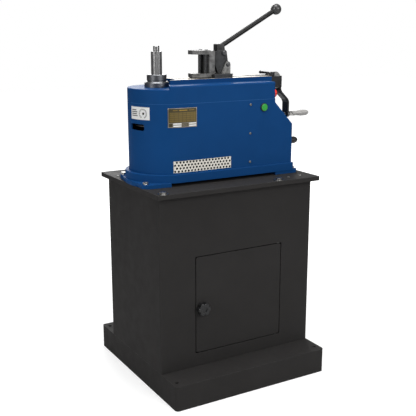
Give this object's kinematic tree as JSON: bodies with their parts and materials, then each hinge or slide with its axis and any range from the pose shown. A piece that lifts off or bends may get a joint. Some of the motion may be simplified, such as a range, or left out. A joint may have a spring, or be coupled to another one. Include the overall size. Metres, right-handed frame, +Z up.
{
  "type": "pipe bending machine",
  "caption": "Floor-standing electric pipe bending machine with a hexagonal bending shaft, counter-die slide, ball lever and feed crank on a sheet-steel cabinet.",
  "frame": {"origin": "on the floor, at the centre of the anchor hole pattern of the stand", "axes": "+Z up, +X towards the feed crank, +Y towards the back, away from the door"},
  "size_m": [0.766, 0.629, 1.3218],
  "materials": {
    "stand_paint": "satin powder coat",
    "blue_paint": "satin enamel",
    "bright_steel": "bright turned",
    "polished_shaft": "ground and polished",
    "machined_steel": "machined",
    "dark_casting": "blackened, satin",
    "bronze": "turned",
    "motor_grey": "satin enamel",
    "box_grey": "matt",
    "cream_sheet": "satin",
    "plate_aluminium": "satin",
    "label_white": "printed film",
    "black_plastic": "moulded",
    "green_plastic": "gloss",
    "red_plastic": "gloss"
  },
  "bodies": {
    "stand": {"plinth": "stand_paint", "cabinet_shell": "stand_paint", "table_plate": "stand_paint", "table_bolts": "bright_steel", "table_screws": "bright_steel", "door_hinge_brackets": "stand_paint", "base_frame": "blue_paint", "foot_bolts": "bright_steel", "lower_casing": "blue_paint", "upper_casting": "blue_paint", "bed_wear_strips": "bright_steel", "vent_grille": "cream_sheet", "data_plate": "plate_aluminium", "side_label": "label_white", "panel_screws": "bright_steel", "worm_bearings": "dark_casting", "bearing_plate": "dark_casting", "stay_posts": "machined_steel", "shaft_bush": "bronze", "electric_motor": "motor_grey", "motor_cradle": "dark_casting", "control_box": "box_grey", "screw_housing": "dark_casting", "start_bezel": "black_plastic", "estop_base": "black_plastic", "cable_gland": "black_plastic"},
    "door": {"cabinet_door": "stand_paint", "door_hinge_pins": "bright_steel"},
    "latch": {"door_knob": "black_plastic", "latch_cam": "bright_steel"},
    "bending_shaft": {"main_shaft": "polished_shaft", "shaft_collar": "polished_shaft", "main_gear": "machined_steel", "angle_disc": "machined_steel"},
    "pinion": {"pinion_shaft": "machined_steel", "worm_wheel": "bronze"},
    "worm": {"worm_shaft": "machined_steel"},
    "carriage": {"carriage_base": "dark_casting", "cheek_plates": "dark_casting", "clevis_lugs": "machined_steel", "lug_bolts": "bright_steel", "pivot_pin": "bright_steel", "feed_nut": "bronze"},
    "fork": {"fork_body": "dark_casting", "roller_pins": "bright_steel"},
    "front_roll": {"front_roller": "bright_steel"},
    "rear_roll": {"rear_roller": "bright_steel"},
    "lever": {"lever_socket": "dark_casting", "lever_rod": "bright_steel", "lever_ball": "black_plastic", "drive_pin": "bright_steel"},
    "screw": {"lead_screw": "machined_steel", "dial_collar": "bright_steel", "crank_arm": "dark_casting", "crank_nut": "bright_steel", "grip_spindle": "bright_steel"},
    "grip": {"crank_grip": "bright_steel"},
    "clamp": {"clamp_lever": "black_plastic"},
    "start": {"start_button": "green_plastic"},
    "estop": {"estop_button": "red_plastic"}
  },
  "joints": [
    {"name": "door_swing", "type": "hinge", "parent": "stand", "child": "door", "pos_m": [0.172, -0.1975, 0.3115], "axis": [0, 0, 1], "range_deg": [0, 95]},
    {"name": "knob_turn", "type": "hinge", "parent": "door", "child": "latch", "pos_m": [-0.147, -0.2, 0.3], "axis": [0, -1, 0], "range_deg": [0, 90]},
    {"name": "pinion_turn", "type": "hinge", "parent": "stand", "child": "pinion", "pos_m": [-0.095, 0, 0.93], "axis": [0, 0, 1], "range_deg": [-760, 0]},
    {"name": "shaft_turn", "type": "hinge", "parent": "stand", "child": "bending_shaft", "pos_m": [-0.205, 0, 1], "axis": [0, 0, 1], "range_deg": [0, 190]},
    {"name": "worm_turn", "type": "hinge", "parent": "stand", "child": "worm", "pos_m": [-0.05, 0.064, 0.895], "axis": [1, 0, 0], "range_deg": [-22800, 0]},
    {"name": "crank_turn", "type": "hinge", "parent": "stand", "child": "screw", "pos_m": [0.3, 0, 1.048], "axis": [1, 0, 0], "range_deg": [-3240, 3600]},
    {"name": "feed_slide", "type": "slide", "parent": "stand", "child": "carriage", "axis": [1, 0, 0], "range_m": [-0.036, 0.04]},
    {"name": "grip_spin", "type": "hinge", "parent": "screw", "child": "grip", "pos_m": [0.4, 0, 0.9195], "axis": [1, 0, 0], "continuous": true},
    {"name": "lever_swing", "type": "hinge", "parent": "carriage", "child": "lever", "pos_m": [0.049, 0, 1.152], "axis": [0, -1, 0], "range_deg": [-35, 7]},
    {"name": "fork_press", "type": "slide", "parent": "carriage", "child": "fork", "axis": [1, 0, 0], "range_m": [-0.0203, 0.0041]},
    {"name": "front_roller_spin", "type": "hinge", "parent": "fork", "child": "front_roll", "pos_m": [-0.022, -0.019, 1.1155], "axis": [0, 0, 1], "continuous": true},
    {"name": "rear_roller_spin", "type": "hinge", "parent": "fork", "child": "rear_roll", "pos_m": [-0.022, 0.019, 1.1155], "axis": [0, 0, 1], "continuous": true},
    {"name": "clamp_turn", "type": "hinge", "parent": "stand", "child": "clamp", "pos_m": [0.2394, -0.044, 1.07], "axis": [0, 0, 1], "range_deg": [0, 90]},
    {"name": "start_push", "type": "slide", "parent": "stand", "child": "start", "axis": [0, 1, 0], "range_m": [0, 0.0025], "stiffness_N_per_m": 600},
    {"name": "estop_push", "type": "slide", "parent": "stand", "child": "estop", "axis": [-1, 0, 0], "range_m": [0, 0.005]}
  ],
  "couplings": [
    {"joint": "shaft_turn", "follows": "pinion_turn", "ratio": -0.25},
    {"joint": "worm_turn", "follows": "pinion_turn", "ratio": 30},
    {"joint": "feed_slide", "follows": "crank_turn", "m_per_rad": 0.0006366},
    {"joint": "fork_press", "follows": "lever_swing", "m_per_rad": 0.0332}
  ]
}
